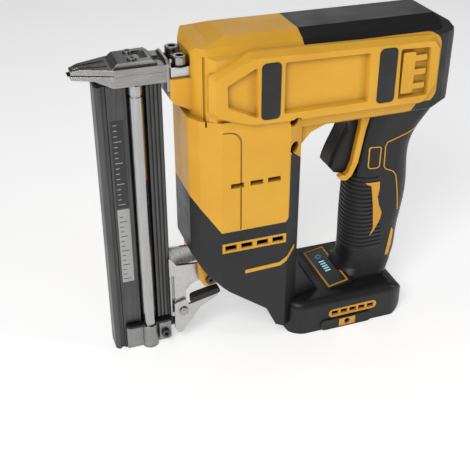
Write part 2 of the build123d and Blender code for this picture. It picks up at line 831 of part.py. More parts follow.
def magazine_rail():
    """Ribbed extrusion with a forward web that closes the back of the strip channel."""
    with BuildPart() as piece:
        with BuildSketch(level(24)):
            Polygon((-86.6, -rail_half), (rail_rear, -rail_half), (rail_rear, rail_half),
                    (-86.6, rail_half), align=None)
            Polygon((cover_rear + slide_gap, -4.1), (-86.6, -4.1), (-86.6, 7.5),
                    (cover_rear + slide_gap, 7.5), align=None)
            with Locations(((mag_mouth[0] + mag_mouth[1]) / 2, 0)):
                Rectangle(mag_mouth[1] - mag_mouth[0], channel_width, mode=Mode.SUBTRACT)
            for i in range(4):
                with Locations((-84.3 + 2.7 * i, -rail_half), (-84.3 + 2.7 * i, rail_half)):
                    Rectangle(1.1, 2.2, mode=Mode.SUBTRACT)
            with Locations((-81, 0)):
                Rectangle(6, 13, mode=Mode.SUBTRACT)
        extrude(amount=mag_top - 24)
    return piece.part


def magazine_cover():
    """Plain-sided cover: front rail band, groove and flat side, open at the back."""
    with BuildPart() as piece:
        with BuildSketch(level(0)):
            Polygon((mag_front, -6.8), (mag_front + 2, -mag_half), (-115.6, -mag_half),
                    (-115.2, -7.6), (-112.8, -7.6), (-112.4, -8.8), (cover_rear - 1.4, -8.8),
                    (cover_rear - 1.4, -9.3), (cover_rear, -9.3), (cover_rear, 7.9), (-91, 7.9),
                    (-91, 9.3), (cover_rear - 1.4, 9.3), (cover_rear - 1.4, 8.8), (-112.4, 8.8),
                    (-112.8, 7.6), (-115.2, 7.6), (-115.6, mag_half), (mag_front + 2, mag_half),
                    (mag_front, 6.8), align=None)
        extrude(amount=mag_top - 0.3)
        with BuildSketch(level(strip_floor)):
            with Locations((-102, 0)):
                Rectangle(2 * (-102 - mag_mouth[0]), channel_width, mode=Mode.ADD)
        extrude(amount=mag_top, mode=Mode.SUBTRACT)
    return piece.part


def guide_tube():
    with BuildPart() as piece:
        with BuildSketch(level(1.5)):
            with Locations((tube_x, tube_y)):
                Circle(tube_r)
                Circle(tube_r - 0.9, mode=Mode.SUBTRACT)
        extrude(amount=mag_top - 1.5 - 0.3)
        with BuildSketch(level(204.5)):
            with Locations((tube_x, tube_y)):
                Circle(tube_r + 1)
                Circle(tube_r - 0.5, mode=Mode.SUBTRACT)
        extrude(amount=1.6, mode=Mode.SUBTRACT)
    return piece.part


bracket_x = (-111.0, -77.3)
bracket_top = 19.5


def bottom_bracket():
    """Clamp that ties the cover and the guide tube together at the bottom."""
    low_x, high_x = bracket_x
    body = block(low_x, -88.6, -11.2, 11.2, 0.6, bracket_top)
    body = join(body, block(-88.6, high_x, -9.4, 11.2, 0.6, bracket_top),
                rod_z(0, bracket_top, tube_x, tube_y, tube_r + 1.2))
    ear = block(-86.4, high_x, -12.6, -9.4, 4, bracket_top)
    body = join(body, ear)
    return cut(body, block(low_x - 5, cover_rear, -9.3, 9.3, -5, 40),
               block(cover_rear - 0.01, -91, 7.9, 9.3, -5, 40),
               rod_z(1.5, 40, tube_x, tube_y, tube_r + 0.02), rod_y(-20, -5, -81.8, 9.6, 1.6))


def bracket_cap():
    """Dark plate on top of the bracket, wrapping the tube."""
    low_x, high_x = bracket_x
    with BuildPart() as piece:
        with BuildSketch(level(bracket_top)):
            Polygon((low_x, -13.4), (high_x, -13.4), (high_x, 12.4), (low_x, 12.4), align=None)
            fillet(vertices(), 3.5)
        extrude(amount=1.8)
    knob = join(block(high_x, high_x + 2, -11.6, -6.4, catch_z, bracket_top + 1.8), catch_pin())
    return cut(join(piece.part, knob), block(low_x - 5, cover_rear, -9.3, 9.3, 0, 40),
               block(cover_rear - 0.01, -91, 7.9, 9.3, 0, 40),
               rod_z(0, 40, tube_x, tube_y, tube_r + 0.02))


def bracket_screw():
    with BuildPart() as piece:
        with BuildSketch(side_plane(-12.6)):
            with Locations((-81.8, 9.6)):
                Circle(3.2)
        extrude(amount=2.6)
        with BuildSketch(side_plane(-15.2)):
            with Locations((-81.8, 9.6)):
                RegularPolygon(1.7, 6)
        extrude(amount=-1.6, mode=Mode.SUBTRACT)
        with BuildSketch(side_plane(-6)):
            with Locations((-81.8, 9.6)):
                Circle(1.55)
        extrude(amount=6.6)
    return piece.part


catch_z = 16.2


def catch_pin():
    """Dark knob on the bracket that the lever's nose holds."""
    with BuildPart() as piece:
        with BuildSketch(cross_plane(bracket_x[1])):
            with Locations((-9.0, catch_z)):
                Circle(3.1)
        extrude(amount=7.8)
        chamfer(piece.edges().filter_by(GeomType.CIRCLE).sort_by(Axis.X)[-1], 0.8)
    return piece.part


strip_floor = 7.0
pusher_low = 190.0
pusher_high = 211.5


def pusher():
    """Follower that lifts the fastener strip."""
    half = channel_width / 2 - 0.15
    with BuildPart() as piece:
        with Locations(((mag_mouth[0] + mag_mouth[1]) / 2, 0, (pusher_low + pusher_high) / 2)):
            Box(mag_mouth[1] - mag_mouth[0] - 0.8, 2 * half, pusher_high - pusher_low)
        chamfer(piece.edges().filter_by(Axis.Z), 0.5)
        with Locations((-103, 0, pusher_low)):
            Hole(2.0, 14)
    return piece.part


def pusher_spring():
    """Coil under the pusher."""
    turns_height = pusher_low - strip_floor - 0.6
    with BuildPart() as piece:
        with BuildLine() as path:
            Helix(pitch=turns_height / 20, height=turns_height, radius=2.1,
                  center=(-103, 0, strip_floor + 0.4))
        with BuildSketch(Plane(path.line @ 0, z_dir=path.line % 0)):
            Circle(0.4)
        sweep(is_frenet=True)
    return piece.part


# ---- latch -----------------------------------------------------------------
latch_gap = 0.3
cheek = 1.9               # thickness of the lever's side plates
lever_pivot = (-67.6, 28.5)
rod_x_pos = -76.2


def latch_bracket():
    """Folded plate from the front lugs to the back of the rail."""
    sides = []
    for sign in (-1, 1):
        low, high = sorted((sign * arm_in, sign * arm_out))
        sides.append(slab([(-77.2, 75), (-75.8, 75), (-71.8, 68.6), (-46, 66.5), (-43.5, 62), (-43.5, 57),
                           (-47, 52.5), (-61.5, 51.3), (-65.2, 48.4), (-65.2, 30), (-67.5, 23),
                           (-72, 23), (-73, 26), (-73, 60), (-77.2, 60)], low, high))
    web = block(rail_rear, -73.6, -arm_in - 0.5, arm_in + 0.5, 26, 68)
    web = join(web, block(-75.7, -71, -arm_in, -arm_in + 1, 60, 66))
    fingers = join(block(-73.7, -73, -arm_out, arm_out, 40, 60))
    piece = join(*sides, web, fingers, rod_z(24, 60, rod_x_pos, -12.3, 0.9))
    return cut(piece, rod_y(-40, 40, lug_x + 1, lug_z + 0.5, 2.1),
               rod_y(-40, 40, lever_pivot[0], lever_pivot[1], 2.05),
               column_solid(0))


def latch_lever():
    """Two cheeks outside the bracket, tied by a bridge under the rubber."""
    outline = [(-74.6, 36), (-66, 38.4), (-63.6, 33.2), (-41.5, 38.2), (-40.4, 36.6), (-54.2, 29.2),
               (-69.6, 8.4), (-73.2, 9.4), (-74.8, 13.2)]
    cheeks = []
    for sign in (-1, 1):
        low, high = sorted((sign * (arm_out + latch_gap), sign * (arm_out + latch_gap + cheek)))
        cheeks.append(slab(outline, low, high, 0.7))
    flange = [(-61.4, 33.8), (-41.8, 38.0), (-41.8, 36.6), (-61.4, 32.3)]
    inner, outer = arm_out - 4, arm_out + 1
    pad = slab([(-69.1, 13.5), (-69.1, 10.5), (-68.2, 10.5), (-66.4, 13.5)], -outer, outer)
    near_flange = slab(flange, -outer, -inner)
    return cut(join(*cheeks, near_flange, other_side(near_flange), pad),
               rod_y(-40, 40, lever_pivot[0], lever_pivot[1], 2.05))


def lever_grip():
    """Rubber bars on the lever's two folded flanges."""
    outline = [(-61.4, 33.85), (-61.4, 37.6), (-60, 39), (-41.4, 43.0), (-39.4, 42),
               (-38.8, 39.8), (-40.2, 38.45), (-41.8, 38.05)]
    inner, outer = arm_out - 4.2, arm_out + 2.4
    bar = cut(slab(outline, -outer, -inner, 0.6), latch_lever())
    return join(bar, other_side(bar))


def lever_rivet():
    """Pivot of the lever, headed outside both cheeks."""
    reach = arm_out + latch_gap + cheek
    x, z = lever_pivot
    return join(rod_y(-reach, reach, x, z, 2.0), rod_y(-reach - 1.3, -reach, x, z, 3.2),
                rod_y(reach, reach + 1.3, x, z, 3.2))


# ---- trigger ------------------------------------------------------------------
trigger_pin_at = (71.2, 163.6)
trigger_front = [(62.3, 161), (57.2, 147.5), (51.2, 134), (49.2, 126.6)]
groove_y = 7.0            # finger grooves down the front face, one each side
groove_width = 1.1
groove_depth = 0.9


def trigger():
    with BuildPart() as piece:
        with BuildSketch(side_plane(trigger_half)):
            with BuildLine():
                Spline(*trigger_front)
                Polyline((49.2, 126.6), (52, 123.4), (58.8, 121.4), (62.4, 124.2), (64.6, 131),
                         (67, 146), (69.4, 157.5), (74.2, 161), (74.4, 166.5), (73, 168.6),
                         (65, 168.6), (62.8, 166), (62.3, 161))
            make_face()
        extrude(amount=2 * trigger_half)
        front = piece.edges().filter_by(
            lambda e: abs(abs(e.center().Y) - trigger_half) < 0.1 and e.length > 30
            and e.center().X < 60)
        fillet(front, 3.4)
        for sign in (-1, 1):
            with BuildSketch(side_plane(sign * groove_y + groove_width / 2)):
                with BuildLine():
                    outside = Spline(*[(x - 2, z) for x, z in trigger_front])
                    floor = Spline(*[(x + groove_depth, z) for x, z in trigger_front])
                    Line(outside @ 0, floor @ 0)
                    Line(outside @ 1, floor @ 1)
                make_face()
            extrude(amount=groove_width, mode=Mode.SUBTRACT)
    x, z = trigger_pin_at
    return cut(piece.part, rod_y(-20, 20, x, z, 1.5 + running_gap))


def trigger_pin():
    x, z = trigger_pin_at
    return rod_y(-lip_half + 0.6, lip_half - 0.6, x, z, 1.5)


def trigger_switch():
    with BuildPart() as piece:
        with Locations((89, 0, 140)):
            Box(22, 18, 26)
        chamfer(piece.edges().filter_by(Axis.Y), 1.5)
        with BuildSketch(cross_plane(70.2)):
            with Locations((0, 141)):
                Circle(2.6)
        extrude(amount=8)
        with Locations((89, 0, 124)):
            Box(12, 10, 6)
    return piece.part


# ---- drive ------------------------------------------------------------------
blade_half = channel_width / 2 - blade_gap
blade_thick = channel_depth - 2 * blade_gap
rack_root = drive_z - 2.1
pitch_z = rack_root - 2.0
lifter_z = pitch_z - lifter_pitch
cylinder_x = (26.0, 106.0)


def driver_blade():
    """Flat blade with a toothed bar under its middle."""
    with BuildPart() as piece:
        with Locations(((nose_tip + 0.6 + piston_front) / 2, 0, drive_z)):
            Box(piston_front - nose_tip - 0.6, 2 * blade_half, blade_thick)
        front = motor_x - pin_pitch * (pin_count - 1) - 3.9
        back = motor_x + 6.6
        with Locations(((front + back) / 2, 0, (pitch_z - 1.2 + drive_z) / 2)):
            Box(back - front, 2 * blade_half, drive_z - pitch_z + 1.2)
        for i in range(pin_count):
            with Locations((motor_x - pin_pitch * i, 0, rack_root - 4)):
                Box(4.7, 10, 8, mode=Mode.SUBTRACT)
    return piece.part


def piston():
    with BuildPart() as piece:
        with BuildSketch(cross_plane(piston_front)):
            with Locations((0, drive_z)):
                Circle(cylinder_bore - running_gap)
        extrude(amount=13)
        for x in (3, 8.4):
            with BuildSketch(cross_plane(piston_front + x)):
                with Locations((0, drive_z)):
                    Circle(cylinder_bore + 1)
                    Circle(cylinder_bore - 1.2, mode=Mode.SUBTRACT)
            extrude(amount=1.8, mode=Mode.SUBTRACT)
    return piece.part


def drive_cylinder():
    low, high = cylinder_x
    tube = cut(rod_x(low, high, 0, drive_z, cylinder_bore + cylinder_wall),
               rod_x(low + 2, high + 1, 0, drive_z, cylinder_bore),
               rod_x(low - 1, low + 3, 0, drive_z, 6.6))
    reach = half_body - wall
    feet = [block(x, x + 5, -reach, reach, 204, 209) for x in (36, 92)]
    feet = cut(join(*feet), rod_x(0, 200, 0, drive_z, cylinder_bore + cylinder_wall))
    saddle = [block(x, x + 5, -14, 14, 204, 212) for x in (36, 92)]
    saddle = cut(join(*saddle), rod_x(0, 200, 0, drive_z, cylinder_bore + 1))
    return join(tube, feet, saddle)


def cylinder_cap():
    high = cylinder_x[1]
    return join(rod_x(high, high + 4, 0, drive_z, cylinder_bore + cylinder_wall),
                rod_x(high - 3, high, 0, drive_z, cylinder_bore))


def stop_bumper():
    low = cylinder_x[0] + 2
    return cut(rod_x(low, piston_front, 0, drive_z, cylinder_bore),
               rod_x(low - 1, piston_front + 1, 0, drive_z, 6.6))


def lifter():
    """Two discs with six pins between them, on one shaft."""
    discs = join(rod_y(-5.8, -3.3, motor_x, lifter_z, lifter_pitch + 2.2),
                 rod_y(3.3, 5.8, motor_x, lifter_z, lifter_pitch + 2.2),
                 rod_y(-3.3, 3.3, motor_x, lifter_z, 6.5),
                 rod_y(-22, 13.9, motor_x, lifter_z, 4.0))
    pins = []
    for i in range(pin_count):
        angle = -i * pin_pitch / lifter_pitch
        pins.append(rod_y(-3.4, 3.4, motor_x + lifter_pitch * sin(angle),
                          lifter_z + lifter_pitch * cos(angle), 1.6))
    return join(discs, *pins)


def lifter_bearing():
    return cut(rod_y(-22, -15, motor_x, lifter_z, 10),
               rod_y(-23, -14, motor_x, lifter_z, 4.0 + running_gap))


def gear_case():
    """Planetary case with a right-angle head; its output bore takes the lifter shaft."""
    with BuildPart() as piece:
        with BuildSketch(level(146)):
            with Locations((motor_x, 0)):
                Circle(13)
        extrude(amount=30)
        with BuildSketch(level(176)):
            with Locations((motor_x, 13.5)):
                RectangleRounded(25, 15, 3)
        extrude(amount=36)
        with BuildSketch(level(172)):
            with Locations((motor_x, 6)):
                RectangleRounded(24, 20, 3)
        extrude(amount=10)
    return cut(piece.part, rod_y(5.95, 14, motor_x, lifter_z, 4.0 + running_gap),
               block(motor_x - 18, motor_x + 18, -8, 6.1, lifter_z - lifter_pitch - 2.7, 240))


def motor_can():
    with BuildPart() as piece:
        with BuildSketch(level(88)):
            with Locations((motor_x, 0)):
                Circle(motor_r)
        extrude(amount=58)
        with BuildSketch(level(88)):
            with Locations((motor_x, 0)):
                Circle(motor_r - 2)
        extrude(amount=52, mode=Mode.SUBTRACT)
        with BuildSketch(level(88)):
            with Locations((motor_x, 0)):
                Circle(motor_r)
                Circle(4.0 + running_gap, mode=Mode.SUBTRACT)
        extrude(amount=3)
        with Locations((motor_x, 0, 146)):
            Hole(4.0 + running_gap, 10)
        for angle in range(0, 360, 90):
            with Locations((motor_x + 11 * cos(radians(angle + 45)),
                            11 * sin(radians(angle + 45)), 88)):
                Hole(3, 3.5)
    ring = cut(rod_z(112, 118, motor_x, 0, motor_r + 0.01), rod_z(111, 119, motor_x, 0, motor_r - 0.5))
    return join(piece.part, ring)


def rotor():
    """Shaft with its winding pack and the cooling fan below the can."""
    with BuildPart() as piece:
        with BuildSketch(level(72)):
            with Locations((motor_x, 0)):
                Circle(4.0)
        extrude(amount=73.5)
        with BuildSketch(level(94)):
            with Locations((motor_x, 0)):
                Circle(motor_r - 4)
        extrude(amount=40)
        with BuildSketch(level(76)):
            with Locations((motor_x, 0)):
                Circle(16.5)
        extrude(amount=1.6)
        with BuildSketch(level(76)):
            for i in range(12):
                with Locations(Location((motor_x, 0, 0), (0, 0, 30 * i))):
                    with Locations((11.2, 0)):
                        Rectangle(10.4, 1.3)
        extrude(amount=9)
    return piece.part


def motor_cradle(zone, z):
    """Rib inside the column that holds the can."""
    ring = cut(block(-70, 30, -50, 50, z, z + 4), rod_z(90, 160, motor_x, 0, motor_r))
    return common(ring, zone)


# ---- electrics and foot fittings ----------------------------------------------
panel_half = 23.8         # half width of the status panel
panel_rim = 1.2           # coloured rim round it
panel_seat = [(47.1, 26.4), (47.1, 29.2), (64.1, 32.5), (64.1, 26.4)]


def panel_pod():
    """Raised wedge on the foot that carries the status panel."""
    outline = [(44.5, foot_top - 1), (44.5, foot_top + 0.2), (66.5, 32.7), (66.5, foot_top - 1)]
    half = panel_half + panel_rim + 1.5
    return slab(outline, -half, half)


def status_panel():
    return slab([(48.3, 25.4), (48.3, 28.9), (62.9, 31.7), (62.9, 25.4)], -panel_half, panel_half)


def panel_frame():
    half = panel_half + panel_rim
    body = slab(panel_seat, -half, half)
    window = [(48.3, 20), (48.3, 40), (62.9, 40), (62.9, 20)]
    return cut(body, slab(window, -panel_half, panel_half))


def control_board():
    return block(16, 45.5, -30, 30, pack_recess + 3, pack_recess + 4.6)


def terminal_block():
    body = block(17, 42, -15, 15, 3.2, pack_recess)
    return cut(body, block(30, 50, -12.2, 12.2, 4.6, 9.6))


def terminals():
    blades = []
    for y in (-9.5, -3.2, 3.2, 9.5):
        blades.append(block(30, 52, y - 0.5, y + 0.5, 4.6, 9.4))
    return join(*blades)


def pack_rails():
    rails = []
    for sign in (-1, 1):
        y0, y1 = sorted((sign * 29.5, sign * (half_foot - 6)))
        rails.append(block(18, 103, y0, y1, 0.8, pack_recess))
        y0, y1 = sorted((sign * 24.5, sign * 29.5))
        rails.append(block(18, 103, y0, y1, 0.8, 3.6))
    return join(*rails)


def hook_inserts():
    piece = cut(rod_y(-half_foot - 0.6, -half_foot + 4.5, hook_x, hook_z, insert_r),
                rod_y(-50, -30, hook_x, hook_z, hook_hole))
    return join(piece, other_side(piece))


def hook_plates():
    plate = cut(block(hook_x - 7, hook_x + 7, -half_foot - 1.3, -half_foot - 0.2, hook_z - 3.5,
                      hook_z + 3.5), rod_y(-50, -30, hook_x, hook_z, 2.62))
    return join(plate, other_side(plate))


def side_pads():
    pads = []
    for x, z in pad_places:
        with BuildPart() as pad:
            with BuildSketch(side_plane(-half_body - panel_proud + 2.4)):
                with Locations((x, z)):
                    RectangleRounded(pad_size[0], pad_size[1], 3.4)
            extrude(amount=2.9)
            chamfer(pad.faces().sort_by(Axis.Y)[0].edges(), 0.5)
        pads.append(pad.part)
    pads = join(*pads)
    return join(pads, other_side(pads))


# ---- assembly -----------------------------------------------------------------
def far_half(solid):
    return common(solid, block(-200, 200, 0, 80, -50, 300))


yellow, top_cover, bumper, lower = build_body()

trim_seat, trim_windows, vent_frame, trim_slots, trim_strip = column_trims()
seat_half = anvil_half + anvil_fit
recess = join(block(head_front - 1, anvil_x[1] + anvil_fit, -seat_half, seat_half, anvil_low,
                    anvil_top + 0.3),
              block(head_front - 1, head_front + 1, -14.5, 14.5, anvil_top, 230))
ledge_holes = join(*[rod_z(198, 215, big_screw_x, y, 3.0) for y in (-big_screw_y, big_screw_y)])
yellow = cut(yellow, front_cap_groove(), recess, ledge_holes, trim_slots, other_side(trim_slots),
             rod_y(-lip_half + 0.6, lip_half - 0.6, *trigger_pin_at, 1.5), *hex_hole_cutters())
cradle_zone = cut(column_solid(wall), block(6.5, 60, -60, 60, 0, 300))
cradle = motor_cradle(cradle_zone, 134)
yellow = join(yellow, cradle)
lower_room = column_solid(wall)
lower = cut(join(lower, motor_cradle(lower_room, 96)), foot_envelope(),
            trim_seat, other_side(trim_seat), trim_windows, other_side(trim_windows),
            *hex_hole_cutters())
post_zone = join(head_solid(wall), column_solid(wall))
posts = screw_bosses(post_zone)
bearing_boss = cut(rod_y(-half_body + wall - 0.5, -15, motor_x, lifter_z, 12.5),
                   rod_y(-22, -14, motor_x, lifter_z, 10))
case_pad = block(motor_x - 10, motor_x + 10, 21, half_body - wall + 0.5, 190, 208)
inside = cut(posts, block(-60, 7.2, -60, 60, 100, 300))

save(join(near_half(yellow), near_half(inside), bearing_boss), "shell_near")
save(join(far_half(yellow), far_half(inside), case_pad), "shell_far")
save(near_half(lower), "lower_cover_near")
save(far_half(lower), "lower_cover_far")
save(top_cover, "top_cover")
save(bumper, "rear_bumper")
save(side_pads(), "side_pads")
save(join(vent_frame, other_side(vent_frame)), "column_vent_frame")
save(join(trim_strip, other_side(trim_strip)), "column_strip")
save(shell_screws(), "shell_screws")

body_blank = join(head_solid(0), rear_solid(0), trigger_lip())
shells, sleeve, inlays = build_handle(body_blank)
panel_zone = join(slab(panel_seat, -panel_half - panel_rim, panel_half + panel_rim), status_panel())
ribs = [block(80, 98, y0, y1, z, z + 3) for z in (130, 147) for y0, y1 in ((-17, -9), (9, 17))]
ribs = common(handle_envelope(wall - 0.1), join(*ribs))
shells = join(cut(shells, panel_zone, panel_pod(), foot_envelope()), ribs)
save(near_half(shells), "grip_near")
save(far_half(shells), "grip_far")
save(sleeve, "grip_sleeve")
save(inlays, "grip_inlays")

foot, foot_frames = build_foot()
foot = cut(join(foot, panel_pod()), panel_zone)
save(near_half(foot), "foot_near")
save(far_half(foot), "foot_far")
save(foot_frames, "foot_vent_frame")
save(status_panel(), "status_panel")
save(panel_frame(), "panel_frame")
save(hook_plates(), "hook_plates")
save(hook_inserts(), "hook_inserts")
save(pack_rails(), "pack_rails")
save(terminal_block(), "terminal_block")
save(terminals(), "terminals")
save(control_board(), "control_board")

save(lower_plate(), "nose_lower_plate")
save(upper_plate(), "nose_upper_plate")
save(nose_screws(), "nose_screws")
save(anvil_block(), "anvil_block")
save(anvil_washers(), "anvil_washers")
save(anvil_screws(), "anvil_screws")
save(back_plate(), "nose_back_plate")
save(contact_tip(), "contact_tip")

save(magazine_rail(), "magazine_rail")
save(magazine_cover(), "magazine_cover")
save(guide_tube(), "guide_tube")
save(pusher(), "pusher")
save(pusher_spring(), "pusher_spring")
save(bottom_bracket(), "bottom_bracket")
save(bracket_cap(), "bracket_cap")
save(bracket_screw(), "bracket_screw")
save(latch_bracket(), "latch_bracket")
save(latch_lever(), "latch_lever")
save(lever_grip(), "lever_grip")
save(lever_rivet(), "lever_rivet")
save(front_lugs(), "front_lugs")
save(lug_screws(), "lug_screws")

save(trigger(), "trigger")
save(trigger_pin(), "trigger_pin")
save(trigger_switch(), "trigger_switch")

save(motor_can(), "motor_can")
save(rotor(), "rotor")
save(gear_case(), "gear_case")
save(lifter(), "lifter")
save(lifter_bearing(), "lifter_bearing")
save(drive_cylinder(), "drive_cylinder")
save(cylinder_cap(), "cylinder_cap")
save(stop_bumper(), "stop_bumper")
save(driver_blade(), "driver_blade")
save(piston(), "piston")
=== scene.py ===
import math
import bpy
import bmesh
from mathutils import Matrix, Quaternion, Vector


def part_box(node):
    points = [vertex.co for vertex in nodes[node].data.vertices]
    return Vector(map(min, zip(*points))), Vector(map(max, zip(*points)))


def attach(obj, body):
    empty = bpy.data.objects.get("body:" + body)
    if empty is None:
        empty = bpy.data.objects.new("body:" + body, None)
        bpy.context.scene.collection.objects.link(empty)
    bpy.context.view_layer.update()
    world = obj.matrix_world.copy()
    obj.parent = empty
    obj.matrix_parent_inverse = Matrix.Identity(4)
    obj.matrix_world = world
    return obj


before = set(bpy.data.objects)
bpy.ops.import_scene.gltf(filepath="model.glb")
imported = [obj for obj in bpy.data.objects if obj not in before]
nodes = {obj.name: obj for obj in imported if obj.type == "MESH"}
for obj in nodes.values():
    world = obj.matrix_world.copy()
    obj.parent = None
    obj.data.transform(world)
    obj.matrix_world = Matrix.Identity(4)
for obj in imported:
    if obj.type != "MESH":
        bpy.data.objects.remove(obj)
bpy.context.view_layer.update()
millimetre = 0.001
print("frame loaded:", len(nodes), "pieces")

# the camera stands in front of the nose, a little above the tool
cameraLook = {
    "place": (-0.1980, -0.5067, 0.4208),
    "forward": (0.2968, 0.8172, -0.4941),
    "rollDegrees": 0.43,
    "lens": 64.5,
    "sensor": 36,
    "shift": (-0.0213, -0.0957),
    "nearest": 0.02,
}

cameraData = bpy.data.cameras.new("benchCamera")
camera = bpy.data.objects.new("benchCamera", cameraData)
bpy.context.scene.collection.objects.link(camera)
cameraData.lens = cameraLook["lens"]
cameraData.sensor_width = cameraLook["sensor"]
cameraData.shift_x, cameraData.shift_y = cameraLook["shift"]
cameraData.clip_start = cameraLook["nearest"]
camera.location = cameraLook["place"]
aim = Vector(cameraLook["forward"]).to_track_quat("-Z", "Y")
camera.rotation_mode = "QUATERNION"
camera.rotation_quaternion = aim @ Quaternion((0, 0, 1), math.radians(cameraLook["rollDegrees"]))
bpy.context.scene.camera = camera

lightLook = {
    "key": {"place": (-0.55, -0.65, 0.85), "size": (0.55, 0.55), "watts": 7.0, "tint": (1, 0.985, 0.96)},
    "overhead": {"place": (0.05, 0.1, 0.95), "size": (0.9, 0.3), "watts": 0.45, "tint": (1, 1, 1)},
    "rightStrip": {"place": (0.75, -0.45, 0.35), "size": (0.12, 0.8), "watts": 1.6, "tint": (0.95, 0.98, 1)},
    "leftStrip": {"place": (-0.75, 0.05, 0.35), "size": (0.10, 0.7), "watts": 0.4, "tint": (1, 1, 1)},
    "rim": {"place": (0.35, 0.75, 0.6), "size": (0.6, 0.25), "watts": 0.5, "tint": (1, 1, 1)},
    "aimAt": (0, 0, 0.12),
    "room": 0.36,
    "horizon": (0.30, 0.30, 0.31),
    "ceiling": (0.42, 0.43, 0.45),
}


def softBox(name, look):
    lamp = bpy.data.lights.new(name, "AREA")
    lamp.shape = "RECTANGLE"
    lamp.size, lamp.size_y = look["size"]
    lamp.energy = look["watts"]
    lamp.color = look["tint"]
    holder = bpy.data.objects.new(name, lamp)
    holder.location = look["place"]
    towards = Vector(lightLook["aimAt"]) - holder.location
    holder.rotation_euler = towards.to_track_quat("-Z", "Y").to_euler()
    bpy.context.scene.collection.objects.link(holder)


for lampName in ("key", "overhead", "rightStrip", "leftStrip", "rim"):
    softBox(lampName + "Light", lightLook[lampName])

room = bpy.data.worlds.new("studioRoom")
room.use_nodes = True
bpy.context.scene.world = room
roomTree = room.node_tree
roomShade = roomTree.nodes["Background"]
roomShade.inputs["Strength"].default_value = lightLook["room"]
roomCoords = roomTree.nodes.new("ShaderNodeTexCoord")
roomSplit = roomTree.nodes.new("ShaderNodeSeparateXYZ")
roomRamp = roomTree.nodes.new("ShaderNodeValToRGB")
roomTree.links.new(roomCoords.outputs["Generated"], roomSplit.inputs[0])
roomTree.links.new(roomSplit.outputs["Z"], roomRamp.inputs["Fac"])
roomTree.links.new(roomRamp.outputs["Color"], roomShade.inputs["Color"])
roomRamp.color_ramp.elements[0].color = (*lightLook["horizon"], 1)
roomRamp.color_ramp.elements[1].color = (*lightLook["ceiling"], 1)
bpy.context.scene.view_settings.view_transform = "Standard"
print("camera and lights set")


def addNode(tree, kind, **values):
    node = tree.nodes.new(kind)
    for key, value in values.items():
        if hasattr(node, key):
            setattr(node, key, value)
        else:
            node.inputs[key.replace("_", " ").title()].default_value = value
    return node


def startFinish(name, look):
    finish = bpy.data.materials.new(name)
    finish.use_nodes = True
    tree = finish.node_tree
    shader = tree.nodes["Principled BSDF"]
    shader.inputs["Base Color"].default_value = (*look["colour"], 1)
    shader.inputs["Roughness"].default_value = look["roughness"]
    shader.inputs["Metallic"].default_value = look.get("metallic", 0)
    shader.inputs["Coat Weight"].default_value = look.get("coat", 0)
    shader.inputs["Coat Roughness"].default_value = look.get("coatRoughness", 0.2)
    shader.inputs["Specular IOR Level"].default_value = look.get("specular", 0.5)
    coords = addNode(tree, "ShaderNodeTexCoord")
    return finish, tree, shader, coords.outputs["Object"]


def noiseOver(tree, place, scale, detail=3, stretch=None):
    if stretch:
        squeeze = addNode(tree, "ShaderNodeMapping")
        squeeze.inputs["Scale"].default_value = stretch
        tree.links.new(place, squeeze.inputs["Vector"])
        place = squeeze.outputs["Vector"]
    noise = addNode(tree, "ShaderNodeTexNoise", scale=scale, detail=detail)
    tree.links.new(place, noise.inputs["Vector"])
    return noise.outputs["Fac"]


def ranged(tree, value, low, high, toLow, toHigh):
    mapper = addNode(tree, "ShaderNodeMapRange")
    tree.links.new(value, mapper.inputs["Value"])
    for key, number in (("From Min", low), ("From Max", high), ("To Min", toLow), ("To Max", toHigh)):
        mapper.inputs[key].default_value = number
    return mapper.outputs["Result"]


def blended(tree, amount, first, second, mode="MIX"):
    mixer = tree.nodes.new("ShaderNodeMix")
    mixer.data_type = "RGBA"
    mixer.blend_type = mode
    for key, value in ((0, amount), (6, first), (7, second)):
        if isinstance(value, (tuple, list)):
            mixer.inputs[key].default_value = (*value, 1)
        elif isinstance(value, (int, float)):
            mixer.inputs[key].default_value = value
        else:
            tree.links.new(value, mixer.inputs[key])
    return mixer.outputs[2]


def times(tree, first, second):
    maths = addNode(tree, "ShaderNodeMath", operation="MULTIPLY")
    for key, value in ((0, first), (1, second)):
        if isinstance(value, (int, float)):
            maths.inputs[key].default_value = value
        else:
            tree.links.new(value, maths.inputs[key])
    return maths.outputs[0]


# where a surface counts as an edge (its normal turns) or as a crevice (little open air)
maskLook = {"samples": 6, "flatTurn": 0.995, "edgeTurn": 0.80, "shutAir": 0.35, "openAir": 0.95}


def roundedNormal(tree, width):
    soft = addNode(tree, "ShaderNodeBevel", samples=maskLook["samples"])
    soft.inputs["Radius"].default_value = width
    return soft.outputs["Normal"]


# how sharply the surface turns here: 0 on a flat, 1 on an edge
def edgeMask(tree, width):
    soft = roundedNormal(tree, width)
    true = addNode(tree, "ShaderNodeNewGeometry")
    dot = addNode(tree, "ShaderNodeVectorMath", operation="DOT_PRODUCT")
    tree.links.new(soft, dot.inputs[0])
    tree.links.new(true.outputs["Normal"], dot.inputs[1])
    return ranged(tree, dot.outputs["Value"], maskLook["flatTurn"], maskLook["edgeTurn"], 0, 1)


# 1 where little open air reaches: it masks painted shade on plastic and metal, and dust on rubber
def crevice(tree, reach):
    shade = addNode(tree, "ShaderNodeAmbientOcclusion", samples=maskLook["samples"])
    shade.inputs["Distance"].default_value = reach
    return ranged(tree, shade.outputs["AO"], maskLook["shutAir"], maskLook["openAir"], 1, 0)


def bumped(tree, shader, height, strength, depth, width=0.0):
    bump = addNode(tree, "ShaderNodeBump")
    bump.inputs["Strength"].default_value = strength
    bump.inputs["Distance"].default_value = depth
    tree.links.new(height, bump.inputs["Height"])
    if width:
        tree.links.new(roundedNormal(tree, width), bump.inputs["Normal"])
    tree.links.new(bump.outputs["Normal"], shader.inputs["Normal"])
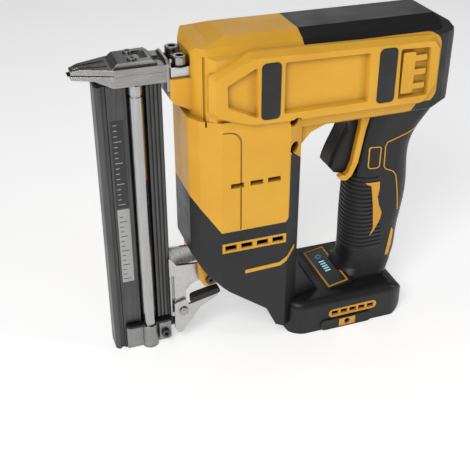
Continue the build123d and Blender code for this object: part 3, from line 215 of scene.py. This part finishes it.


# colours run from colour to deep in soft clouds, and go to worn on rubbed edges; crevices are darkened with
# painted shade
plasticLooks = {
    "amberShell": {"colour": (0.84, 0.45, 0.040), "deep": (0.72, 0.35, 0.024), "worn": (0.95, 0.66, 0.26),
                   "roughness": 0.40, "coat": 0.04, "specular": 0.30,
                   "grain": 1500, "depth": 0.00004, "edge": 0.0007,
                   "wear": 0.45, "shadeInCrevices": 0.75},
    "amberTrim": {"colour": (0.80, 0.42, 0.045), "deep": (0.66, 0.30, 0.022), "worn": (0.95, 0.62, 0.24),
                  "roughness": 0.36, "coat": 0.06, "specular": 0.30,
                  "grain": 1800, "depth": 0.00002, "edge": 0.0002,
                  "wear": 0.3, "shadeInCrevices": 0.3},
    "blackShell": {"colour": (0.018, 0.018, 0.019), "deep": (0.009, 0.009, 0.010),
                   "worn": (0.11, 0.11, 0.11), "roughness": 0.40, "coat": 0.02, "specular": 0.34,
                   "grain": 1300, "depth": 0.00006, "edge": 0.0006,
                   "wear": 0.75, "shadeInCrevices": 0.7},
    "blackGloss": {"colour": (0.012, 0.012, 0.013), "deep": (0.007, 0.007, 0.008),
                   "worn": (0.08, 0.08, 0.08), "roughness": 0.36, "coat": 0.02, "specular": 0.30,
                   "grain": 1500, "depth": 0.00004, "edge": 0.0008,
                   "wear": 0.6, "shadeInCrevices": 0.6},
    "blackFittings": {"colour": (0.014, 0.014, 0.015), "deep": (0.008, 0.008, 0.009),
                      "worn": (0.10, 0.10, 0.10), "roughness": 0.45, "coat": 0, "grain": 1600,
                      "depth": 0.00004, "edge": 0.0004, "wear": 0.5, "shadeInCrevices": 0.3},
    "labelBlack": {"colour": (0.014, 0.014, 0.015), "deep": (0.010, 0.010, 0.011), "worn": (0.2, 0.2, 0.2),
                   "roughness": 0.34, "coat": 0.2, "grain": 1500, "depth": 0.00001, "edge": 0.0001,
                   "wear": 0.3, "shadeInCrevices": 0.2},
    "labelPale": {"colour": (0.42, 0.42, 0.41), "deep": (0.34, 0.34, 0.33), "worn": (0.6, 0.6, 0.6),
                  "roughness": 0.36, "coat": 0.2, "grain": 1500, "depth": 0.00001, "edge": 0.0001,
                  "wear": 0.3, "shadeInCrevices": 0.2},
    "boardGreen": {"colour": (0.012, 0.11, 0.035), "deep": (0.008, 0.07, 0.02), "worn": (0.3, 0.25, 0.1),
                   "roughness": 0.3, "coat": 0.3, "grain": 2200, "depth": 0.00002, "edge": 0.0002,
                   "wear": 0.2, "shadeInCrevices": 0.2},
}


# noise is given as (scale, detail), and a span is the part of it that shows
# the crevice keys set the painted shade that ambient occlusion lays into grooves and gaps
plasticNoise = {"cloud": (22, 4), "cloudSpan": (0.35, 0.65), "cloudMost": 0.6,
                "scuff": (160, 6), "scuffSpan": (0.42, 0.62), "edgeSpread": 1.3,
                "shadeReach": 0.007, "shadeColourShare": 0.28,
                "smear": (45, 6), "smearStretch": (1, 1, 2.2), "smearSpan": (0.3, 0.7),
                "smearRough": (-0.06, 0.07), "bumpDetail": 2, "bump": 0.55}


def mouldedPlastic(name, look):
    finish, tree, shader, place = startFinish(name, look)
    use = plasticNoise
    cloud = ranged(tree, noiseOver(tree, place, *use["cloud"]), *use["cloudSpan"], 0, use["cloudMost"])
    colour = blended(tree, cloud, look["colour"], look["deep"])
    scuffs = ranged(tree, noiseOver(tree, place, *use["scuff"]), *use["scuffSpan"], 0, 1)
    rubbed = times(tree, edgeMask(tree, look["edge"] * use["edgeSpread"]), scuffs)
    colour = blended(tree, times(tree, rubbed, look["wear"]), colour, look["worn"])
    # painted shade: the colour darkens where ambient occlusion finds crevices and gaps between parts
    paintedShade = times(tree, crevice(tree, use["shadeReach"]), look["shadeInCrevices"])
    darker = tuple(part * use["shadeColourShare"] for part in look["deep"])
    colour = blended(tree, paintedShade, colour, darker)
    tree.links.new(colour, shader.inputs["Base Color"])
    smears = noiseOver(tree, place, *use["smear"], use["smearStretch"])
    smoothest, roughest = (look["roughness"] + step for step in use["smearRough"])
    tree.links.new(ranged(tree, smears, *use["smearSpan"], smoothest, roughest), shader.inputs["Roughness"])
    grain = noiseOver(tree, place, look["grain"], use["bumpDetail"])
    bumped(tree, shader, grain, use["bump"], look["depth"], look["edge"])
    return finish


rubberLook = {"colour": (0.017, 0.017, 0.018), "deep": (0.010, 0.010, 0.010), "dust": (0.06, 0.058, 0.055),
              "roughness": 0.62, "grain": 900, "depth": 0.00012, "edge": 0.0006, "sheen": 0.12, "bump": 0.5,
              "cloud": (30, 4), "cloudSpan": (0.35, 0.65), "dustReach": 0.004, "dustNoise": (90, 5),
              "dustSpan": (0.45, 0.7), "dustMost": 0.5, "smear": (70, 5), "smearSpan": (0.3, 0.7),
              "smearRough": (-0.08, 0.1)}


def softRubber(name, look):
    finish, tree, shader, place = startFinish(name, look)
    cloud = ranged(tree, noiseOver(tree, place, *look["cloud"]), *look["cloudSpan"], 0, 1)
    colour = blended(tree, cloud, look["colour"], look["deep"])
    corners = crevice(tree, look["dustReach"])
    specks = ranged(tree, noiseOver(tree, place, *look["dustNoise"]), *look["dustSpan"], 0, look["dustMost"])
    colour = blended(tree, times(tree, corners, specks), colour, look["dust"])
    tree.links.new(colour, shader.inputs["Base Color"])
    smoothest, roughest = (look["roughness"] + step for step in look["smearRough"])
    smears = ranged(tree, noiseOver(tree, place, *look["smear"]), *look["smearSpan"], smoothest, roughest)
    tree.links.new(smears, shader.inputs["Roughness"])
    shader.inputs["Sheen Weight"].default_value = look["sheen"]
    cells = addNode(tree, "ShaderNodeTexVoronoi", scale=look["grain"])
    tree.links.new(place, cells.inputs["Vector"])
    bumped(tree, shader, cells.outputs["Distance"], look["bump"], look["depth"], look["edge"])
    return finish


metalLooks = {
    # the stretch is small along the brushing
    "groundSteel": {"colour": (0.40, 0.395, 0.385), "deep": (0.24, 0.235, 0.23), "roughness": 0.27,
                    "brush": (0.04, 1, 1), "lines": 1500, "depth": 0.00004, "edge": 0.0005, "stain": 0.35},
    "polishedSteel": {"colour": (0.66, 0.65, 0.64), "deep": (0.5, 0.49, 0.48), "roughness": 0.17,
                      "brush": (0.1, 1, 1), "lines": 1500, "depth": 0.00002, "edge": 0.0004, "stain": 0.25},
    "anodisedGrey": {"colour": (0.125, 0.125, 0.126), "deep": (0.07, 0.07, 0.071), "roughness": 0.42,
                     "brush": (1, 1, 0.02), "lines": 1400, "depth": 0.00004, "edge": 0.0004, "stain": 0.2},
    "drawnTube": {"colour": (0.46, 0.46, 0.46), "deep": (0.30, 0.30, 0.30), "roughness": 0.16,
                  "brush": (1, 1, 0.03), "lines": 1600, "depth": 0.00002, "edge": 0.0003, "stain": 0.2},
    "castGrey": {"colour": (0.33, 0.33, 0.325), "deep": (0.20, 0.20, 0.20), "roughness": 0.36,
                 "brush": (1, 1, 1), "lines": 900, "depth": 0.00008, "edge": 0.0007, "stain": 0.4},
    "stampedZinc": {"colour": (0.46, 0.455, 0.445), "deep": (0.28, 0.275, 0.27), "roughness": 0.28,
                    "brush": (1, 1, 0.08), "lines": 1100, "depth": 0.00004, "edge": 0.0004, "stain": 0.35},
    "brightScrew": {"colour": (0.42, 0.42, 0.42), "deep": (0.22, 0.22, 0.22), "roughness": 0.22,
                    "brush": (1, 1, 0.2), "lines": 1800, "depth": 0.00003, "edge": 0.0004, "stain": 0.3},
    "darkScrew": {"colour": (0.11, 0.11, 0.112), "deep": (0.05, 0.05, 0.052), "roughness": 0.32,
                  "brush": (1, 1, 0.2), "lines": 1600, "depth": 0.00003, "edge": 0.0004, "stain": 0.35},
    "smoothSteel": {"colour": (0.56, 0.555, 0.545), "deep": (0.40, 0.395, 0.385), "roughness": 0.22,
                    "brush": (1, 1, 0.15), "lines": 2600, "depth": 0.00001, "edge": 0.0004, "stain": 0.2},
    "blackOxide": {"colour": (0.03, 0.03, 0.032), "deep": (0.018, 0.018, 0.02), "roughness": 0.4,
                   "brush": (1, 1, 1), "lines": 1100, "depth": 0.00004, "edge": 0.0004, "stain": 0.3},
    "zincMotor": {"colour": (0.32, 0.32, 0.33), "deep": (0.2, 0.2, 0.2), "roughness": 0.35,
                  "brush": (1, 1, 0.05), "lines": 1100, "depth": 0.00004, "edge": 0.0004, "stain": 0.4},
    "yellowBrass": {"colour": (0.72, 0.50, 0.20), "deep": (0.5, 0.33, 0.12), "roughness": 0.25,
                    "brush": (0.1, 1, 1), "lines": 1300, "depth": 0.00002, "edge": 0.0003, "stain": 0.3},
}


# the crevice keys set painted shade, darker where ambient occlusion finds crevices
metalNoise = {"strokeDetail": 4, "strokeSpan": (0.3, 0.7), "strokeMost": 0.55, "blotch": (38, 5),
              "stainSpan": (0.45, 0.7), "shadeReach": 0.003, "shadeMost": 0.65, "shadeColourShare": 0.2,
              "edgeMost": 0.6, "edgeBright": 1.5, "sheenSpan": (0.25, 0.75), "sheenRough": (-0.07, 0.09),
              "smearSpan": (0.3, 0.7), "smearRough": (-0.03, 0.05), "bump": 0.35}


def brushedMetal(name, look):
    look = dict(look, metallic=1.0)
    finish, tree, shader, place = startFinish(name, look)
    use = metalNoise
    strokes = noiseOver(tree, place, look["lines"], use["strokeDetail"], look["brush"])
    blotches = noiseOver(tree, place, *use["blotch"])
    lines = ranged(tree, strokes, *use["strokeSpan"], 0, use["strokeMost"])
    colour = blended(tree, lines, look["colour"], look["deep"])
    stain = times(tree, ranged(tree, blotches, *use["stainSpan"], 0, 1), look["stain"])
    colour = blended(tree, stain, colour, look["deep"])
    # painted shade: ambient occlusion darkens the colour in crevices
    paintedShade = times(tree, crevice(tree, use["shadeReach"]), use["shadeMost"])
    colour = blended(tree, paintedShade, colour, tuple(part * use["shadeColourShare"] for part in look["deep"]))
    shine = times(tree, edgeMask(tree, look["edge"]), use["edgeMost"])
    bright = tuple(min(1, part * use["edgeBright"]) for part in look["colour"])
    colour = blended(tree, shine, colour, bright)
    tree.links.new(colour, shader.inputs["Base Color"])
    spread = addNode(tree, "ShaderNodeMath", operation="ADD")
    tree.links.new(ranged(tree, strokes, *use["sheenSpan"], *use["sheenRough"]), spread.inputs[0])
    smoothest, roughest = (look["roughness"] + step for step in use["smearRough"])
    tree.links.new(ranged(tree, blotches, *use["smearSpan"], smoothest, roughest), spread.inputs[1])
    tree.links.new(spread.outputs[0], shader.inputs["Roughness"])
    bumped(tree, shader, strokes, use["bump"], look["depth"], look["edge"])
    return finish


windowLook = {"colour": (0.006, 0.007, 0.009), "hatchColour": (0.012, 0.016, 0.022), "roughness": 0.30,
              "coat": 0.1, "coatRoughness": 0.2, "hatch": 420, "hatchBend": 0.2, "hatchSpan": (0.4, 1),
              "hatchMost": 0.5, "smear": (0.24, 0.36), "smearNoise": (120, 5), "smearSpan": (0.35, 0.7),
              "bumpNoise": (300, 2), "bump": 0.1, "depth": 0.00002, "edge": 0.0003}


def windowFilm(name, look):
    finish, tree, shader, place = startFinish(name, look)
    hatch = addNode(tree, "ShaderNodeTexWave", scale=look["hatch"], distortion=look["hatchBend"])
    tree.links.new(place, hatch.inputs["Vector"])
    lines = ranged(tree, hatch.outputs["Fac"], *look["hatchSpan"], 0, look["hatchMost"])
    tree.links.new(blended(tree, lines, look["colour"], look["hatchColour"]), shader.inputs["Base Color"])
    smears = ranged(tree, noiseOver(tree, place, *look["smearNoise"]), *look["smearSpan"], *look["smear"])
    tree.links.new(smears, shader.inputs["Roughness"])
    ripple = noiseOver(tree, place, *look["bumpNoise"])
    bumped(tree, shader, ripple, look["bump"], look["depth"], look["edge"])
    return finish


lampLook = {"ringColour": (0.05, 0.35, 0.75), "barColour": (0.35, 0.75, 0.85), "roughness": 0.3,
            "power": 0.55, "dimmest": 0.7, "noise": (900, 2), "noiseSpan": (0.3, 0.7)}


def litInk(name, tint):
    finish, tree, shader, place = startFinish(name, dict(lampLook, colour=tint))
    power = lampLook["power"]
    flicker = noiseOver(tree, place, *lampLook["noise"])
    glow = ranged(tree, flicker, *lampLook["noiseSpan"], power * lampLook["dimmest"], power)
    shader.inputs["Emission Color"].default_value = (*tint, 1)
    tree.links.new(glow, shader.inputs["Emission Strength"])
    return finish


finishes = {name: mouldedPlastic(name, look) for name, look in plasticLooks.items()}
finishes.update({name: brushedMetal(name, look) for name, look in metalLooks.items()})
finishes["softRubber"] = softRubber("softRubber", rubberLook)
finishes["windowFilm"] = windowFilm("windowFilm", windowLook)
finishes["ringLight"] = litInk("ringLight", lampLook["ringColour"])
finishes["barLight"] = litInk("barLight", lampLook["barColour"])
print("finishes mixed:", len(finishes))

# which finish each piece of the frame wears
finishOf = {
    "amberShell": "shell_near shell_far front_lugs",
    "amberTrim": "grip_inlays foot_vent_frame column_vent_frame column_strip panel_frame hook_plates",
    "blackShell": "lower_cover_near lower_cover_far grip_near grip_far foot_near foot_far trigger",
    "blackGloss": "top_cover",
    "blackFittings": "pack_rails terminal_block trigger_switch bracket_cap",
    "softRubber": "rear_bumper side_pads grip_sleeve lever_grip stop_bumper",
    "windowFilm": "status_panel",
    "groundSteel": "nose_lower_plate nose_upper_plate",
    "polishedSteel": "anvil_block driver_blade lifter lifter_bearing pusher_spring",
    "anodisedGrey": "magazine_rail magazine_cover drive_cylinder cylinder_cap piston",
    "drawnTube": "guide_tube",
    "castGrey": "bottom_bracket gear_case",
    "smoothSteel": "latch_bracket latch_lever",
    "stampedZinc": "nose_back_plate",
    "brightScrew": "nose_screws anvil_screws lever_rivet trigger_pin",
    "darkScrew": "bracket_screw lug_screws",
    "blackOxide": "anvil_washers pusher contact_tip shell_screws",
    "zincMotor": "motor_can rotor",
    "yellowBrass": "terminals hook_inserts",
    "boardGreen": "control_board",
}
painted = set()
for finishName, names in finishOf.items():
    for nodeName in names.split():
        piece = nodes[nodeName]
        piece.data.materials.clear()
        piece.data.materials.append(finishes[finishName])
        painted.add(nodeName)
unpainted = sorted(set(nodes) - painted)
print("pieces painted:", len(painted), "left:", unpainted)


def pieceFrom(name, mesh, finish, body):
    mesh.materials.append(finishes[finish])
    piece = bpy.data.objects.new(name, mesh)
    bpy.context.scene.collection.objects.link(piece)
    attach(piece, body)
    return piece


# how far a plate's top rim is drawn in, as shares of its thickness and of its corner
rimLook = {"ofThick": 0.5, "ofCorner": 0.4}


# a thin plate with rounded corners, lying on the plane of along and across
def roundedPlate(name, centre, along, across, length, width, corner, thick, steps=5):
    mesh = bpy.data.meshes.new(name)
    shape = bmesh.new()
    along, across = Vector(along).normalized(), Vector(across).normalized()
    out = along.cross(across)
    rim = []
    for quarter, (su, sv) in enumerate(((1, 1), (-1, 1), (-1, -1), (1, -1))):
        for step in range(steps + 1):
            angle = math.pi / 2 * (quarter + step / steps)
            u = su * (length / 2 - corner) + corner * math.cos(angle)
            v = sv * (width / 2 - corner) + corner * math.sin(angle)
            rim.append((u, v))
    base = Vector(centre)
    inset = min(thick * rimLook["ofThick"], corner * rimLook["ofCorner"])
    rings = []
    for lift, shrink in ((0, 0), (thick - inset, 0), (thick, inset)):
        ring = []
        shareU = (length / 2 - shrink) / (length / 2)
        shareV = (width / 2 - shrink) / (width / 2)
        for u, v in rim:
            ring.append(shape.verts.new(base + along * u * shareU + across * v * shareV + out * lift))
        rings.append(ring)
    for low, high in zip(rings, rings[1:]):
        for i in range(len(low)):
            j = (i + 1) % len(low)
            shape.faces.new((low[i], low[j], high[j], high[i]))
    shape.faces.new(rings[-1])
    shape.faces.new(list(reversed(rings[0])))
    bmesh.ops.recalc_face_normals(shape, faces=shape.faces)
    shape.to_mesh(mesh)
    shape.free()
    return mesh


def flatRing(name, centre, along, across, radius, width, thick, steps=40):
    mesh = bpy.data.meshes.new(name)
    shape = bmesh.new()
    along, across = Vector(along).normalized(), Vector(across).normalized()
    out = along.cross(across)
    loops = []
    for r, lift in ((radius - width, 0), (radius - width, thick), (radius, thick), (radius, 0)):
        loops.append([shape.verts.new(Vector(centre) + (along * math.cos(a) + across * math.sin(a)) * r
                                      + out * lift)
                      for a in (2 * math.pi * i / steps for i in range(steps))])
    for first, second in zip(loops, loops[1:] + loops[:1]):
        for i in range(steps):
            j = (i + 1) % steps
            shape.faces.new((first[i], first[j], second[j], second[i]))
    bmesh.ops.recalc_face_normals(shape, faces=shape.faces)
    shape.to_mesh(mesh)
    shape.free()
    return mesh


gaugeLook = {"ringRadius": 2.3, "ringWidth": 0.55, "ringPlace": 14.5, "barLength": 4.6, "barWidth": 1.5,
             "barCorner": 0.4, "barPlaces": (7.4, 4.2, 1.0, -2.2, -5.4), "panelRise": 2.8, "lift": 0.02,
             "thick": 0.12}

panelLow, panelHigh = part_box("status_panel")
panelRise = gaugeLook["panelRise"]
panelSlope = Vector((panelHigh.x - panelLow.x, 0, panelRise * millimetre)).normalized()
panelMiddle = Vector(((panelLow.x + panelHigh.x) / 2, 0, panelHigh.z - panelRise / 2 * millimetre))
panelOut = panelSlope.cross(Vector((0, 1, 0)))
panelAt = panelMiddle + panelOut * gaugeLook["lift"] * millimetre
ringMesh = flatRing("gaugeRing", panelAt + Vector((0, gaugeLook["ringPlace"] * millimetre, 0)), panelSlope,
                    (0, 1, 0), gaugeLook["ringRadius"] * millimetre, gaugeLook["ringWidth"] * millimetre,
                    gaugeLook["thick"] * millimetre)
pieceFrom("gaugeRing", ringMesh, "ringLight", "tool")
for index, place in enumerate(gaugeLook["barPlaces"]):
    barName = "gaugeBar%d" % (index + 1)
    barAt = panelAt + Vector((0, place * millimetre, 0))
    barMesh = roundedPlate(barName, barAt, panelSlope, (0, 1, 0), gaugeLook["barLength"] * millimetre,
                           gaugeLook["barWidth"] * millimetre, gaugeLook["barCorner"] * millimetre,
                           gaugeLook["thick"] * millimetre)
    pieceFrom(barName, barMesh, "barLight", "tool")
print("gauge drawn")

# two plain labels with generic gauge marks on the magazine's side
labelLook = {"across": 8.6, "centreX": -106.6, "lift": 0.02, "thick": 0.14, "corner": 0.7,
             "blackSpan": (122.0, 188.0), "paleSpan": (60.0, 121.0), "coverLip": 0.5, "tickMargin": 3,
             "tickEvery": 4.0, "tickThick": 0.08, "tickWide": 0.55, "tickCorner": 0.2, "tickStart": 3.1,
             "longTick": 5.2, "shortTick": 2.6}


def gathered(name, meshes):
    whole = bmesh.new()
    for part in meshes:
        whole.from_mesh(part)
        bpy.data.meshes.remove(part)
    mesh = bpy.data.meshes.new(name)
    whole.to_mesh(mesh)
    whole.free()
    return mesh


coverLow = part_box("magazine_cover")[0]
labelFace = coverLow.y + labelLook["coverLip"] * millimetre - labelLook["lift"] * millimetre


def labelPlate(name, span, finish):
    low, high = span
    centre = Vector((labelLook["centreX"], 0, (low + high) / 2)) * millimetre
    centre.y = labelFace
    mesh = roundedPlate(name, centre, (1, 0, 0), (0, 0, 1), labelLook["across"] * millimetre,
                        (high - low) * millimetre, labelLook["corner"] * millimetre,
                        labelLook["thick"] * millimetre)
    pieceFrom(name, mesh, finish, "magazine")


def labelTicks(name, span, finish, longEvery):
    low, high = span
    parts = []
    margin = labelLook["tickMargin"]
    count = int((high - low - 2 * margin) / labelLook["tickEvery"])
    for step in range(count + 1):
        length = labelLook["longTick"] if step % longEvery == 0 else labelLook["shortTick"]
        tickX = labelLook["centreX"] - labelLook["tickStart"] + length / 2
        centre = Vector((tickX, 0, low + margin + labelLook["tickEvery"] * step)) * millimetre
        centre.y = labelFace - labelLook["thick"] * millimetre
        parts.append(roundedPlate("tick", centre, (1, 0, 0), (0, 0, 1), length * millimetre,
                                  labelLook["tickWide"] * millimetre, labelLook["tickCorner"] * millimetre,
                                  labelLook["tickThick"] * millimetre, 2))
    pieceFrom(name, gathered(name, parts), finish, "magazine")


labelPlate("blackLabel", labelLook["blackSpan"], "labelBlack")
labelTicks("blackLabelTicks", labelLook["blackSpan"], "labelPale", 4)
labelPlate("paleLabel", labelLook["paleSpan"], "labelPale")
labelTicks("paleLabelTicks", labelLook["paleSpan"], "labelBlack", 3)
print("labels laid")

stageLook = {"size": 4.0, "colour": (0.86, 0.86, 0.86), "shade": (0.84, 0.84, 0.845), "roughness": 0.55,
             "glow": 0.5, "noise": (8, 3), "noiseSpan": (0.3, 0.7)}
floorMesh = bpy.data.meshes.new("paleFloor")
half = stageLook["size"] / 2
floorMesh.from_pydata([(-half, -half, 0), (half, -half, 0), (half, half, 0), (-half, half, 0)], [],
                      [(0, 1, 2, 3)])
floor = bpy.data.objects.new("paleFloor", floorMesh)
bpy.context.scene.collection.objects.link(floor)
floorFinish, floorTree, floorShader, floorPlace = startFinish("paleFloor", stageLook)
floorClouds = noiseOver(floorTree, floorPlace, *stageLook["noise"])
floorTint = ranged(floorTree, floorClouds, *stageLook["noiseSpan"], 0, 1)
floorTree.links.new(blended(floorTree, floorTint, stageLook["colour"], stageLook["shade"]),
                    floorShader.inputs["Base Color"])
floorShader.inputs["Emission Color"].default_value = (1, 1, 1, 1)
floorShader.inputs["Emission Strength"].default_value = stageLook["glow"]   # keeps the ground near white
floorMesh.materials.append(floorFinish)
print("stage set")
